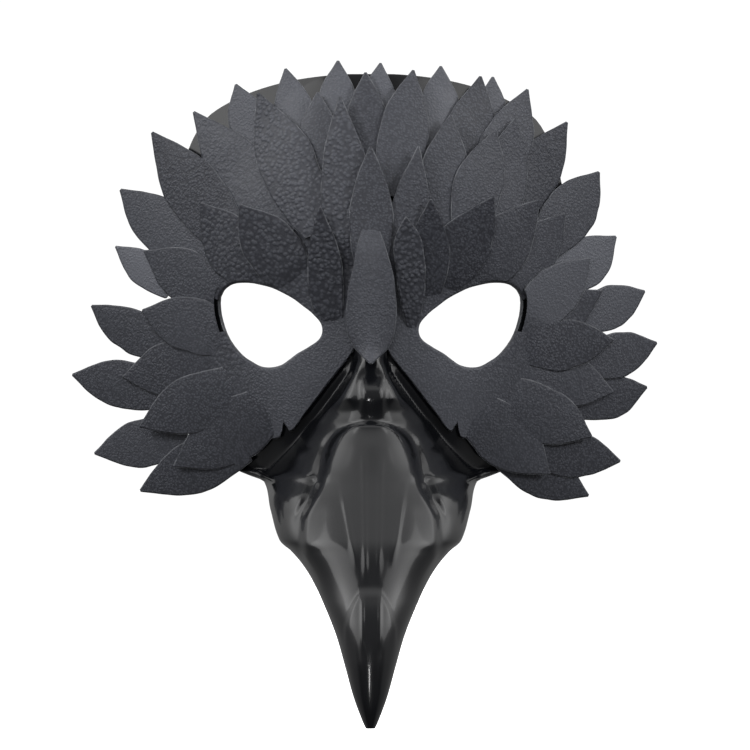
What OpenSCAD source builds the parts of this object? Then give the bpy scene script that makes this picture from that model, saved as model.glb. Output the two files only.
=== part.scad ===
// Raven half mask: a glossy black beak shell with layered leather leaf feathers,
// foam pads inside and an adjustable elastic head strap.
// The origin is on the nose bridge, level with the eyes. -Y is the front, +Z is up.

/* [Shell] */
// Width of the moulded shell across the temples
shell_w = 160; // [130:1:195]
// Height of the shell from the crown edge to the cheek edge
shell_h = 161; // [130:1:195]
// How far the beak stands in front of the nose bridge
beak_reach = 105; // [70:1:125]
// Wall of the moulded shell
shell_t = 1.6; // [1.2:0.1:2]

/* [Eye holes] */
// Distance between the middles of the two eye holes
eye_spacing = 80; // [70:1:88]
// Width of an eye hole
eye_w = 43; // [30:1:48]
// Height of an eye hole
eye_h = 34; // [24:1:38]

/* [Leather] */
// Thickness of the leather sheet
leather_t = 1; // [0.6:0.1:1.1]
// Width of the leaf feathers against the drawn plan
feather_width = 1; // [0.8:0.05:1.2]
// Glue line between the shell and the leather lying on it
glue_gap = 0.25; // [0.15:0.05:0.5]

/* [Head strap] */
// Width of the elastic webbing
strap_w = 20; // [12:1:25]
// Thickness of the elastic webbing
strap_t = 1.6; // [1:0.1:2.5]
// Radius of the strap's loop behind the head
strap_r = 84; // [78:1:100]
// Height of the strap's middle above the eye line
strap_z = 38; // [28:1:45]
// Shank diameter of the rivets that hold the strap
rivet_d = 4; // [3:0.5:6]
// Head diameter of the strap rivets
rivet_head_d = 9; // [7:0.5:12]
// Free play between the slider and the webbing
slider_play = 0.4; // [0.3:0.1:0.8]

/* [Foam pads] */
// Thickness of the forehead foam
forehead_pad_t = 6; // [4:0.5:10]
// Thickness of the nose foam
nose_pad_t = 4; // [3:0.5:6]

/* [Hidden] */
kx = shell_w / 160;
kz = shell_h / 161;
ky = beak_reach / 105;
leather = [0.17, 0.18, 0.19];
leather_lit = [0.21, 0.22, 0.23];
gloss = [0.05, 0.05, 0.055];

// Outline and section of the shell in its drawn size, scaled by kx, ky and kz
cheek_z = -62;
flare_at = 0.72;
// half width of the shell at each height, from the beak's tip up to the crown
half_width = [
    [-159, 1.8], [-156, 3.2], [-147, 6.6], [-135, 10], [-123, 13.6], [-111, 18.6], [-102, 23],
    [-96, 27], [-91, 31.5], [-87, 36], [-75, 40], [-64, 43], [-62, 48], [-60, 53], [-56, 60],
    [-50, 65], [-40, 70], [-25, 75], [-10, 78], [5, 80], [20, 80.5], [35, 80], [50, 78.5],
    [66, 75], [76, 71], [84, 65], [91, 53], [95, 42], [98, 29], [99.6, 16], [100, 9]];
// half width of the beak's root where it leaves the face
beak_root = [
    [-159, 1.8], [-147, 6.6], [-135, 10], [-123, 13.6], [-111, 18.6], [-102, 23], [-96, 27],
    [-91, 31.5], [-87, 36], [-75, 40], [-62, 42.5], [-56, 37.5], [-49, 31.5], [-40, 24.5],
    [-30, 16.5], [-20, 9.5], [-12, 6.5], [-5, 9], [10, 13], [60, 16]];
// how far forward the ridge of nose and beak lies, without the raised culmen
culmen = [
    [-159, 104], [-152, 105], [-142, 104], [-130, 101.5], [-120, 97], [-112, 91.5], [-105, 85],
    [-90, 70], [-75, 54], [-62, 40], [-50, 28], [-42, 19.8], [-38, 18.4], [-34, 17.4],
    [-30, 16.2], [-26, 14], [-20, 9.4], [-12, 4.5], [-4, 3], [10, 2], [30, 0], [60, -7]];
// how far forward the beak's open rear edge lies below the cheeks
rear_edge = [
    [-159, 101], [-150, 97], [-135, 87], [-120, 73], [-105, 55], [-90, 33], [-80, 14],
    [-70, -10], [-62, -31]];
// half width of the raised culmen, out to the grooves beside it
culmen_w = [
    [-110, 27], [-79, 26.7], [-68, 21.8], [-60, 18.6], [-52, 16.6], [-47, 14.6], [-43.5, 11.5],
    [-41, 7], [-39.5, 1]];
// radius of the eye hole by angle about its middle, on the wearer's left side
eye_radius = [
    [-60, 17.2], [-30, 17.8], [0, 20], [16, 22.2], [31, 24.3], [45, 23.2], [60, 20], [76, 17],
    [92, 15.3], [110, 14.2], [130, 14.3], [150, 15.5], [167, 18.2], [181, 21], [194, 21.2],
    [210, 18.3], [226, 16.4], [241, 16.4], [256, 17.3], [280, 17.8], [300, 17.2], [330, 17.8],
    [352, 19.2]];
// radius of the eye leather's outer edge, by the same angle
surround_radius = [
    [25, 31], [60, 35], [90, 38], [110, 45], [128, 54], [145, 46], [160, 40], [175, 37.5],
    [187, 36], [198, 34.7], [212, 33], [226, 33], [240, 35.4], [250, 38.8], [260, 44],
    [270, 46], [284, 42], [300, 39], [319, 36], [340, 31], [352, 27]];

// Smooth curve through a list of [key, value] pairs in rising order
function curve(t, c) =
    let (n = len(c) - 1)
    let (i = min(n - 1, max(0, len([for (p = c) if (p[0] <= t) 1]) - 1)))
    let (a = c[max(0, i - 1)], b = c[i], d = c[i + 1], e = c[min(n, i + 2)])
    let (w = d[0] - b[0], s = min(1, max(0, (t - b[0]) / w)))
    let (m = w * (d[1] - a[1]) / (d[0] - a[0]), k = w * (e[1] - b[1]) / (e[0] - b[0]))
    b[1] * (1 + s * s * (2 * s - 3)) + d[1] * s * s * (3 - 2 * s)
        + m * s * (s - 1) * (s - 1) + k * s * s * (s - 1);

function step(a, b, t) =
    let (s = min(1, max(0, (t - a) / (b - a))))
    s * s * (3 - 2 * s);

function hill(x, z, cx, cz, rx, rz) = exp(-pow((x - cx) / rx, 2) - pow((z - cz) / rz, 2));

// Forehead and cheeks: an ellipsoid that runs out straight beyond flare_at
function face(x, z) =
    let (r = norm([x / 90, (z - 10) / 130]))
    r < flare_at ? 95 * (sqrt(1 - r * r) - 1)
        : 95 * (sqrt(1 - flare_at * flare_at) - 1) - 80 * (r - flare_at);

// Section across nose and beak: s runs from 0 on the ridge to 1 at the foot, and
// the foot is soft on the nose and steep on the beak
function arch(s, z) = s >= 1 ? 0 : pow(1 - pow(s, 2.4), 1.4 - 0.85 * step(-42, -72, z));

// Raised culmen, the grooves beside it and the two nostril mounds
function relief(x, z) =
    let (w = curve(z, culmen_w))
    5 * step(-1.5, 2.5, w - abs(x)) * step(-38.5, -41.5, z) * (1 - step(-86, -110, z))
        - 2.5 * exp(-pow((abs(x) - w - 2.2) / 2, 2)) * step(-42, -50, z) * (1 - step(-72, -86, z))
        + 4 * hill(abs(x), z, 30.5, -62, 7, 16);

// How far forward the shell's front lies, which the leather follows too
function skin(x, z) =
    face(x, z) - 4 * hill(abs(x), z, 42, -2, 26, 20)
        + (curve(z, culmen) - face(0, z)) * step(62, 34, z) * arch(abs(x) / curve(z, beak_root), z)
        + (z < -34 ? relief(x, z) : 0);

function beak(x, z) =
    let (rear = curve(z, rear_edge))
    rear + (curve(z, culmen) - rear) * arch(abs(x) / curve(z, half_width), z)
        + relief(x, z) * (1 - step(0.85, 1, abs(x) / curve(z, half_width)));

function front(x, z) =
    let (b = step(cheek_z + 4, cheek_z - 8, z))
    z > cheek_z + 4 ? skin(x, z) : skin(x, z) * (1 - b) + beak(x, z) * b;

// A place in the drawn plan, lifted off the skin by h real millimetres
function at(x, z, h) = [x * kx, -skin(x, z) * ky - h, z * kz];

// Closed solid between two grids of n + 1 rows and m + 1 columns
module sheet(front_pts, back_pts, n, m) {
    s = (n + 1) * (m + 1);
    function v(i, j) = i * (m + 1) + j;
    quads = concat(
        [for (i = [0:n - 1], j = [0:m - 1]) [v(i, j), v(i, j + 1), v(i + 1, j + 1), v(i + 1, j)]],
        [for (i = [0:n - 1], j = [0:m - 1])
            [s + v(i, j), s + v(i + 1, j), s + v(i + 1, j + 1), s + v(i, j + 1)]],
        [for (j = [0:m - 1]) [v(0, j + 1), v(0, j), s + v(0, j), s + v(0, j + 1)]],
        [for (j = [0:m - 1]) [v(n, j), v(n, j + 1), s + v(n, j + 1), s + v(n, j)]],
        [for (i = [0:n - 1]) [v(i + 1, m), v(i, m), s + v(i, m), s + v(i + 1, m)]],
        [for (i = [0:n - 1]) [v(i, 0), v(i + 1, 0), s + v(i + 1, 0), s + v(i, 0)]]);
    faces = [for (q = quads) each [[q[0], q[1], q[2]], [q[0], q[2], q[3]]]];
    polyhedron([for (r = front_pts) each r, for (r = back_pts) each r], faces);
}

// One leaf of leather from its glued root to its tip, with the back face at
// root_h and tip_h above the skin
leaf_shape = [
    [0, 0.6], [0.15, 0.8], [0.35, 0.98], [0.5, 1], [0.65, 0.86], [0.8, 0.57], [0.92, 0.25],
    [1, 0.04]];
// The same for the leaves that narrow at both ends
lens_shape = [
    [0, 0.4], [0.12, 0.56], [0.28, 0.78], [0.45, 0.96], [0.6, 1], [0.75, 0.95], [0.85, 0.78],
    [0.93, 0.4], [1, 0.04]];
module feather(root, tip, width, root_h, tip_h, shape = leaf_shape) {
    n = 7;
    m = 4;
    run = tip - root;
    side = [-run[1], run[0]] / norm(run);
    function row(t, h) =
        let (w = width / 2 * feather_width * curve(t, shape), c = root + t * run)
        [for (j = [0:m]) let (p = c + side * w * (2 * j / m - 1)) at(p[0], p[1], h)];
    function height(t) = glue_gap + root_h + (tip_h - root_h) * t;
    sheet(
        [for (i = [0:n]) row(i / n, height(i / n) + leather_t)],
        [for (i = [0:n]) row(i / n, height(i / n))], n, m);
}

// Eye hole outline on one side, grown outwards by g
ex = eye_spacing / 2 / kx;
function eye_at(a, g) = [
    (curve(a, eye_radius) * eye_w / 43 + g) * cos(a) / kx,
    (curve(a, eye_radius) * eye_h / 34 + g) * sin(a) / kz];

module eye_hole(side) {
    rotate([90, 0, 0])
        linear_extrude(60, center = true)
            polygon([for (a = [-60:10:290])
                [side * (ex + eye_at(a, 0)[0]) * kx, (-1 + eye_at(a, 0)[1]) * kz]]);
}

// Soft leather laid round an eye hole, open at the outer corner of the eye
module eye_leather(side) {
    n = 48;
    m = 6;
    eye_gap = glue_gap + 0.25;
    function angle(i) = side > 0 ? 352 - 327 * i / n : 25 + 327 * i / n;
    function spot(i, j, h) =
        let (a = angle(i), e = eye_at(a, 0.5))
        let (r = min(curve(a, surround_radius), (ex - 0.4 / kx) / max(0.01, -cos(a))))
        let (p = e + ([r * cos(a), r * sin(a)] - e) * j / m)
        at(side * (ex + p[0]), -1 + p[1], h);
    function grid(h) = [for (i = [0:n]) [for (j = [0:m]) spot(i, j, h)]];
    sheet(grid(eye_gap + leather_t), grid(eye_gap), n, m);
}

// ---- the shell ----
rows = [-159, -157, -153, each [-149:5:-94], -91.5, -89, -86, each [-81:4.75:-62.5], -60, -57,
    each [-53:5:87], 91, 94.5, 97, 98.8, 100];
// columns as shares of the half width, close together on the nose
across = [
    0, 0.04, 0.08, 0.12, 0.16, 0.2, 0.245, 0.295, 0.35, 0.41, 0.475, 0.545, 0.62, 0.7, 0.775,
    0.845, 0.905, 0.95, 0.98, 0.995, 1];
cols = 2 * (len(across) - 1);
module mask_shell() {
    n = len(rows) - 1;
    function spot(i, j, t) =
        let (z = rows[n - i], k = j - cols / 2, w = curve(z, half_width))
        let (a = sign(k) * asin(across[abs(k)]))
        let (x = w * sin(a), cut = min(t / kx, 0.6 * w))
        [(x - cut * sin(a)) * kx, -front(x, z) * ky + min(t, 0.5 * w) * cos(a), z * kz];
    color(gloss)
        resize([0, 0, 0])
            difference() {
                sheet(
                    [for (i = [0:n]) [for (j = [0:cols]) spot(i, j, 0)]],
                    [for (i = [0:n]) [for (j = [0:cols]) spot(i, j, shell_t)]], n, cols);
                for (side = [-1, 1]) {
                    eye_hole(side);
                    rivet_place(side)
                        cylinder(d = rivet_d + 0.3, h = 20, center = true, $fn = 24);
                }
            }
}

// ---- head strap and its fixings ----
rivet_x = 73;
function slope() = (skin(rivet_x + 0.5, strap_z) - skin(rivet_x - 0.5, strap_z)) * ky / kx;
rivet_a = atan(-slope());
strap_in = shell_t + 1.7;
strap_at = strap_z * kz;
loop_r = max(strap_r, rivet_x * kx + 11);

// The outside face of the shell at a rivet, with +Z looking outwards
module rivet_place(side) {
    translate([side * rivet_x * kx, -skin(rivet_x, strap_z) * ky, strap_at])
        rotate([0, 0, side * rivet_a])
            rotate([90, 0, 0])
                children();
}

module strap_rivet(side) {
    color([0.35, 0.36, 0.38])
        rivet_place(side) {
            translate([0, 0, 0.55])
                cylinder(d = rivet_head_d, h = 0.9, $fn = 32);
            translate([0, 0, -strap_in - strap_t - 0.9])
                cylinder(d = rivet_d, h = strap_in + strap_t + 1.6, $fn = 24);
            translate([0, 0, -strap_in - strap_t - 1.1])
                cylinder(d = rivet_head_d, h = 1, $fn = 32);
        }
}
module strap_rivet_left() strap_rivet(1);
module strap_rivet_right() strap_rivet(-1);

// The webbing runs from a tab under each rivet, round a bend and on round the head
bend_r = 20;
tab = 8;
anchor = [rivet_x * kx, -skin(rivet_x, strap_z) * ky]
    - (strap_in + strap_t / 2) * [sin(rivet_a), -cos(rivet_a)];
straight = (loop_r - anchor[0] - bend_r * (1 - sin(rivet_a))) / cos(rivet_a);
bend_c = anchor + straight * [cos(rivet_a), sin(rivet_a)] + bend_r * [-sin(rivet_a), cos(rivet_a)];
loop_y = bend_c[1];

module head_strap() {
    function half(e) = concat(
        [anchor - tab * [cos(rivet_a), sin(rivet_a)] + e * [sin(rivet_a), -cos(rivet_a)]],
        [for (i = [0:6]) let (a = rivet_a - 90 + (90 - rivet_a) * i / 6)
            bend_c + (bend_r + e) * [cos(a), sin(a)]],
        [for (a = [5:5:90]) [0, loop_y] + (loop_r + e) * [cos(a), sin(a)]]);
    function mirrored(p) = [for (i = [len(p) - 2:-1:0]) [-p[i][0], p[i][1]]];
    function reversed(p) = [for (i = [len(p) - 1:-1:0]) p[i]];
    outer = half(strap_t / 2);
    inner = half(-strap_t / 2);
    color([0.09, 0.09, 0.1])
        difference() {
            translate([0, 0, strap_at - strap_w / 2])
                linear_extrude(strap_w)
                    polygon(concat(outer, mirrored(outer), reversed(concat(inner, mirrored(inner)))));
            for (side = [-1, 1])
                rivet_place(side)
                    cylinder(d = rivet_d + 0.3, h = 20, center = true, $fn = 24);
        }
}

// Bowed three-bar slider that the webbing weaves through
slider_a = 12;
module strap_slider() {
    bar = 1.6;
    r0 = loop_r - strap_t / 2 - slider_play;
    r1 = loop_r + strap_t / 2 + slider_play;
    module part(a0, a1, ra, rb, h) {
        rotate([0, 0, a0])
            rotate_extrude(angle = a1 - a0, $fn = 180)
                translate([ra, -h / 2])
                    square([rb - ra, h]);
    }
    color([0.08, 0.08, 0.085])
        translate([0, loop_y, strap_at]) {
            for (z = [-1, 1])
                translate([0, 0, z * (strap_w / 2 + slider_play + bar)])
                    part(90 - slider_a / 2, 90 + slider_a / 2, r0 - bar, r1 + bar, 2 * bar);
            for (s = [-1, 1])
                rotate([0, 0, s * (slider_a / 2 - 1)])
                    part(89, 91, r0 - bar, r0, strap_w + 2 * slider_play + 0.2);
            part(89, 91, r1, r1 + bar, strap_w + 2 * slider_play + 0.2);
        }
}

// ---- foam inside the shell ----
module foam(half_w, z0, z1, t) {
    n = 6;
    m = 12;
    seat = shell_t + 0.5;
    function row(i, h) =
        let (z = z0 + (z1 - z0) * i / n, w = half_w * (i == 0 || i == n ? 0.9 : 1))
        [for (j = [0:m]) at(w * (2 * j / m - 1), z, h)];
    color([0.12, 0.12, 0.12])
        sheet([for (i = [0:n]) row(i, -seat)], [for (i = [0:n]) row(i, -seat - t)], n, m);
}
module forehead_pad() foam(38, 84, 64, forehead_pad_t);
module nose_pad() foam(12, 20, 2, nose_pad_t);

// ---- leather ----
module eye_leather_left() color(leather) eye_leather(1);
module eye_leather_right() color(leather) eye_leather(-1);
module crest_back_left_1() color(leather_lit) feather([3, 69], [4, 104], 15, 0, 1.5);
module crest_back_left_2() color(leather) feather([27, 69], [28, 103], 16, 0, 1.5);
module crest_back_left_3() color(leather_lit) feather([46, 67], [49, 99], 14, 0, 1.5);
module crest_back_right_1() color(leather_lit) feather([-12, 69], [-13, 105], 16, 0, 1.5);
module crest_back_right_2() color(leather) feather([-28, 69], [-34, 102], 15, 0, 1.5);
module crest_back_right_3() color(leather) feather([-45, 65], [-54, 96], 16, 0, 1.5);
module crest_middle_left_1() color(leather) feather([-1, 54], [-2, 100], 18, 1.4, 4.2);
module crest_middle_left_2() color(leather) feather([10, 50], [17, 101], 20, 3, 5.8);
module crest_middle_left_3() color(leather) feather([34, 50], [44, 99], 21, 1.4, 4.2);
module crest_middle_left_4() color(leather) feather([46, 48], [63, 94], 20, 3, 5.8);
module crest_middle_left_5() color(leather) feather([53, 38], [79, 81], 20, 1.4, 4.2);
module crest_middle_left_6() color(leather) feather([70, 30], [92, 61], 21, 3.4, 6.2);
module crest_middle_right_1() color(leather) feather([-19, 50], [-21, 92], 18, 1.4, 4.2);
module crest_middle_right_2() color(leather) feather([-20, 36], [-45, 92], 23, 3, 5.8);
module crest_middle_right_3() color(leather) feather([-34, 34], [-71, 85], 23, 1.4, 4.2);
module crest_middle_right_4() color(leather) feather([-54, 30], [-88, 77], 23, 3, 5.8);
module crest_front_left_1() color(leather) feather([0, 32], [0, 70], 17, 5.8, 10.2);
module crest_front_left_2() color(leather) feather([13, 32], [19, 70], 15, 4.4, 9);
module crest_front_left_3() color(leather) feather([27, 34], [32, 83], 19, 3, 7.4);
module crest_front_left_4() color(leather) feather([38, 35], [50, 77], 19, 4.4, 9);
module crest_front_left_5() color(leather) feather([50, 38], [58, 82], 18, 3.4, 7.8);
module crest_front_right_1() color(leather) feather([-8, 38], [-12, 90], 19, 4.4, 8.6);
module brow_feather_left_1() color(leather) feather([22, 13], [24, 49], 16, 5.4, 11);
module brow_feather_left_2() color(leather) feather([29, 18], [49, 50], 21, 4, 11);
module brow_feather_left_3() color(leather) feather([44, 19], [67, 49], 22, 3.8, 10.6);
module brow_feather_left_4() color(leather) feather([57, 17], [78, 44], 20, 2, 8);
module brow_feather_left_5() color(leather) feather([16, 4], [14, 42], 12, 6.8, 11.6, lens_shape);
module brow_feather_right_1() color(leather) feather([-46, 19], [-68, 48], 22, 2.4, 8);
module brow_feather_right_2() color(leather) feather([-32, 20], [-52, 47], 22, 4, 10);
module brow_feather_right_3() color(leather) feather([-16, 3], [-20, 46], 14, 2.4, 9.4);
module bridge_feather() color(leather) feather([0, 41], [0, -17], 19, 9.4, 5, lens_shape);
module temple_feather_left_1() color(leather) feather([72, 14], [99, 35], 20, 1.2, 4);
module temple_feather_left_2() color(leather) feather([66, 5], [88, 26], 20, 5.4, 8);
module temple_feather_right_1() color(leather) feather([-66, 24], [-101, 54], 22, 1.4, 4.2);
module temple_feather_right_2() color(leather) feather([-64, 13], [-91, 29], 21, 2.8, 5.4);
module temple_feather_right_3() color(leather) feather([-80, 13], [-103, 31], 13, 0, 1.5);
module cheek_back_left_1() color(leather) feather([84, 1], [111, 13], 17, 0, 1.5);
module cheek_back_left_2() color(leather) feather([86, -17], [116, -8], 18, 1.6, 3.1);
module cheek_back_left_3() color(leather) feather([80, -33], [112, -26], 18, 0, 1.5);
module cheek_back_left_4() color(leather) feather([64, -51], [101, -56], 19, 1.6, 3.1);
module cheek_back_left_5() color(leather) feather([52, -52], [88, -70], 19, 0.2, 1.5);
module cheek_back_right_1() color(leather) feather([-82, -11], [-113, 7], 17, 0, 1.5);
module cheek_back_right_2() color(leather) feather([-82, -29], [-121, -21], 19, 1.6, 3.1);
module cheek_back_right_3() color(leather) feather([-74, -44], [-112, -53], 19, 0, 1.5);
module cheek_back_right_4() color(leather) feather([-50, -50], [-93, -68], 21, 1.6, 3.1);
module cheek_front_left_1() color(leather) feather([66, -3], [93, 13], 19, 1.8, 5);
module cheek_front_left_2() color(leather) feather([62, -9], [98, -7], 21, 3.2, 6);
module cheek_front_left_3() color(leather) feather([58, -18], [98, -28], 23, 1.4, 4.4);
module cheek_front_left_4() color(leather) feather([52, -29], [89, -46], 23, 3.8, 7);
module cheek_front_left_5() color(leather) feather([38, -33], [72, -61], 24, 1.4, 4.6);
module cheek_front_right_1() color(leather) feather([-62, -5], [-92, 5], 22, 3.2, 6);
module cheek_front_right_2() color(leather) feather([-58, -14], [-100, -22], 23, 1.4, 4.4);
module cheek_front_right_3() color(leather) feather([-51, -24], [-93, -42], 23, 3.8, 7);
module cheek_front_right_4() color(leather) feather([-36, -31], [-79, -58], 25, 1.4, 4.6);

// The short feathers behind the crest hang together as one fringe on each side
module crest_back_row_left() {
    crest_back_left_1();
    crest_back_left_2();
    crest_back_left_3();
}
module crest_back_row_right() {
    crest_back_right_1();
    crest_back_right_2();
    crest_back_right_3();
}

mask_shell();
eye_leather_left();
eye_leather_right();
crest_middle_left_1();
crest_middle_left_2();
crest_middle_left_3();
crest_middle_left_4();
crest_middle_left_5();
crest_middle_left_6();
crest_middle_right_1();
crest_middle_right_2();
crest_middle_right_3();
crest_middle_right_4();
crest_front_left_1();
crest_front_left_2();
crest_front_left_3();
crest_front_left_4();
crest_front_left_5();
crest_front_right_1();
brow_feather_left_1();
brow_feather_left_2();
brow_feather_left_3();
brow_feather_left_4();
brow_feather_left_5();
brow_feather_right_1();
brow_feather_right_2();
brow_feather_right_3();
bridge_feather();
temple_feather_left_1();
temple_feather_left_2();
temple_feather_right_1();
temple_feather_right_2();
temple_feather_right_3();
cheek_back_left_1();
cheek_back_left_2();
cheek_back_left_3();
cheek_back_left_4();
cheek_back_left_5();
cheek_back_right_1();
cheek_back_right_2();
cheek_back_right_3();
cheek_back_right_4();
cheek_front_left_1();
cheek_front_left_2();
cheek_front_left_3();
cheek_front_left_4();
cheek_front_left_5();
cheek_front_right_1();
cheek_front_right_2();
cheek_front_right_3();
cheek_front_right_4();
crest_back_row_left();
crest_back_row_right();
forehead_pad();
nose_pad();
head_strap();
strap_slider();
strap_rivet_left();
strap_rivet_right();
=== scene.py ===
"""Raven half mask: a vacuum-formed beak and face under layered leather feathers."""

import math
import random
from contextlib import contextmanager

import bmesh
import bpy
import numpy as np
from bpy.props import FloatProperty, IntProperty, PointerProperty, StringProperty
from mathutils import Matrix, Vector


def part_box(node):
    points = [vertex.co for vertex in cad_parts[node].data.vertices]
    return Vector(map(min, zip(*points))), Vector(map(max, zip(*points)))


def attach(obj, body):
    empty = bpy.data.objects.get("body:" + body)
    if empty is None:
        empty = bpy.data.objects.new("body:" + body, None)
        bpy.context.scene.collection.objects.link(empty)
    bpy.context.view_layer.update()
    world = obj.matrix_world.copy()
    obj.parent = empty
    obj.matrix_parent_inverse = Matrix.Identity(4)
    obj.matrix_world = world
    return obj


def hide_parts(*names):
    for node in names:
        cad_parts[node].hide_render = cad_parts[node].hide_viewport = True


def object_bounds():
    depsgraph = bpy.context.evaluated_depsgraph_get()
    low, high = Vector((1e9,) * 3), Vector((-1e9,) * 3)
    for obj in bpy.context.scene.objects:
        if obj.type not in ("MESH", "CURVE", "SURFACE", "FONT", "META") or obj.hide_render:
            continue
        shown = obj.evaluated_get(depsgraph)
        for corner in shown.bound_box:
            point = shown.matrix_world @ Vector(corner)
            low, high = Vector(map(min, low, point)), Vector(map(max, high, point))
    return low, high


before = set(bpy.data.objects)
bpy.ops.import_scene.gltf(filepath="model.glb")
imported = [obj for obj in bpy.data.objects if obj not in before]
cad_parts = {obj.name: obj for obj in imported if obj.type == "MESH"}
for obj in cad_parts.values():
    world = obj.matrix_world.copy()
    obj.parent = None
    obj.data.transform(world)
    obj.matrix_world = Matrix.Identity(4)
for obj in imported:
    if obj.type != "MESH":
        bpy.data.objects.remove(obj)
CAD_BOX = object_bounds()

bl_info = {
    "name": "Raven Half Mask",
    "version": (1, 0, 0),
    "blender": (4, 5, 0),
    "location": "3D View > Sidebar > Raven Mask",
    "description": "Builds a glossy beaked half mask dressed with leather feathers",
    "category": "Add Mesh",
}

# ---- sizes read from the frame ----
SHELL_LOW, SHELL_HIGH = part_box("mask_shell")
KX = SHELL_HIGH.x / 0.0805
KY = -SHELL_LOW.y / 0.105
KZ = (SHELL_HIGH.z - SHELL_LOW.z) / 0.259

# ---- the maker's sizes, in metres ----
WALL = 0.0016  # the formed sheet
GLUE = 0.0005  # under the leather round the eyes
TURN_IN, TURN_DROP = 0.0011, 0.0016  # how that leather's edge turns into the eye hole
SUNK_BRIDGE, SUNK_CREST, SUNK_SKIVED = 0.0017, 0.0055, 0.0013  # how deep roots dip
LEAF_END = 0.0012  # how much of a leaf's end is measured
BAND, SELVEDGE = 0.0016, 0.0008  # thickness and rounded edge of the webbing
BAND_GAP = 0.0017  # between the shell and the webbing
TAB, CORNER = 0.008, 0.020  # webbing past its rivet, and its bend beside the temples
WELD = 1e-6  # points closer than this are one
STAND_OFF, FIELD = 4.0, 0.3  # the camera's distance and the width it sees
# middles of the eye hole and of the rivet, in the drawing's millimetres
EYE_X, EYE_Z, RIVET_X = 0.040 * 1000 / KX, -0.001 * 1000 / KZ, 73.0

# ---- the maker's drawing, in millimetres, scaled by KX, KY and KZ ----
FLARE_AT = 0.72
HALF_WIDTH = [
    (-159, 1.8), (-156, 3.2), (-147, 6.6), (-135, 10), (-123, 13.6), (-111, 18.6), (-102, 23),
    (-96, 27), (-91, 31.5), (-87, 36), (-75, 40), (-64, 43), (-62, 48), (-60, 53), (-56, 60),
    (-50, 65), (-40, 70), (-25, 75), (-10, 78), (5, 80), (20, 80.5), (35, 80), (50, 78.5),
    (66, 75), (76, 71), (84, 65), (91, 53), (95, 42), (98, 29), (99.6, 16), (100, 9)]
BEAK_ROOT = [
    (-159, 1.8), (-147, 6.6), (-135, 10), (-123, 13.6), (-111, 18.6), (-102, 23), (-96, 27),
    (-91, 31.5), (-87, 36), (-75, 40), (-62, 42.5), (-56, 37.5), (-49, 31.5), (-40, 24.5),
    (-30, 16.5), (-20, 9.5), (-12, 6.5), (-5, 9), (10, 13), (60, 16)]
CULMEN = [
    (-159, 104), (-152, 105), (-142, 104), (-130, 101.5), (-120, 97), (-112, 91.5), (-105, 85),
    (-90, 70), (-75, 54), (-62, 40), (-50, 28), (-42, 19.8), (-38, 18.4), (-34, 17.4),
    (-30, 16.2), (-26, 14), (-20, 9.4), (-12, 4.5), (-4, 3), (10, 2), (30, 0), (60, -7)]
REAR_EDGE = [
    (-159, 101), (-150, 97), (-135, 87), (-120, 73), (-105, 55), (-90, 33), (-80, 14),
    (-70, -10), (-62, -31)]
CULMEN_HALF = [
    (-110, 27), (-79, 26.7), (-68, 21.8), (-60, 18.6), (-52, 16.6), (-47, 14.6), (-43.5, 11.5),
    (-41, 7), (-39.5, 1)]
EYE_RADIUS = [
    (-60, 17.2), (-30, 17.8), (0, 20), (16, 22.2), (31, 24.3), (45, 23.2), (60, 20), (76, 17),
    (92, 15.3), (110, 14.2), (130, 14.3), (150, 15.5), (167, 18.2), (181, 21), (194, 21.2),
    (210, 18.3), (226, 16.4), (241, 16.4), (256, 17.3), (280, 17.8), (300, 17.2), (330, 17.8),
    (352, 19.2)]
SURROUND_RADIUS = [
    (25, 31), (60, 35), (90, 38), (110, 45), (128, 54), (145, 46), (160, 40), (175, 37.5),
    (187, 36), (198, 34.7), (212, 33), (226, 33), (240, 35.4), (250, 38.8), (260, 44),
    (270, 46), (284, 42), (300, 39), (319, 36), (340, 31), (352, 27)]
LEAF_OUTLINE = [
    (0, 0.6), (0.15, 0.8), (0.35, 0.98), (0.5, 1), (0.65, 0.86), (0.8, 0.57), (0.92, 0.25),
    (1, 0.04)]
LENS_OUTLINE = [
    (0, 0.16), (0.1, 0.42), (0.25, 0.68), (0.45, 0.93), (0.6, 1), (0.73, 0.95), (0.84, 0.76),
    (0.93, 0.4), (1, 0.03)]
# rows of the shell's mesh (from, to, spacing), and its points across
SHELL_ROWS = ((-159, -150, 0.75), (-150, -104, 1.15), (-104, -14, 0.95), (-14, 86, 2.4),
              (86, 100, 0.6))
SHELL_COLUMNS = 215
# the leather round an eye: its first and last angle, its points round and outwards, and
# the slits in its V edge (angle, depth, half width in degrees)
SHEET_START, SHEET_END, SHEET_COLUMNS, SHEET_ROWS = 25, 352, 261, 34
SLITS = ((262.5, 5.5, 1.5), (272.5, 4.5, 1.3))
# folds beside the nose (distance outwards, height), and streaks on the hook's keel (x)
FOLDS, STREAKS = ((-2.6, 1.3), (-6.4, 1.1)), (-3.1, 3.7)
# fine flutes that the forming tool left along the culmen: x at the top, x at the
# bottom, top, bottom, height
FLUTES = [
    (-2.6, -1.9, -50, -103, 0.55), (4.2, 3.1, -52, -102, 0.45), (-11.6, -5.4, -64, -97, 0.5),
    (13.6, 8.6, -64, -97, 0.5)]


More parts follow.
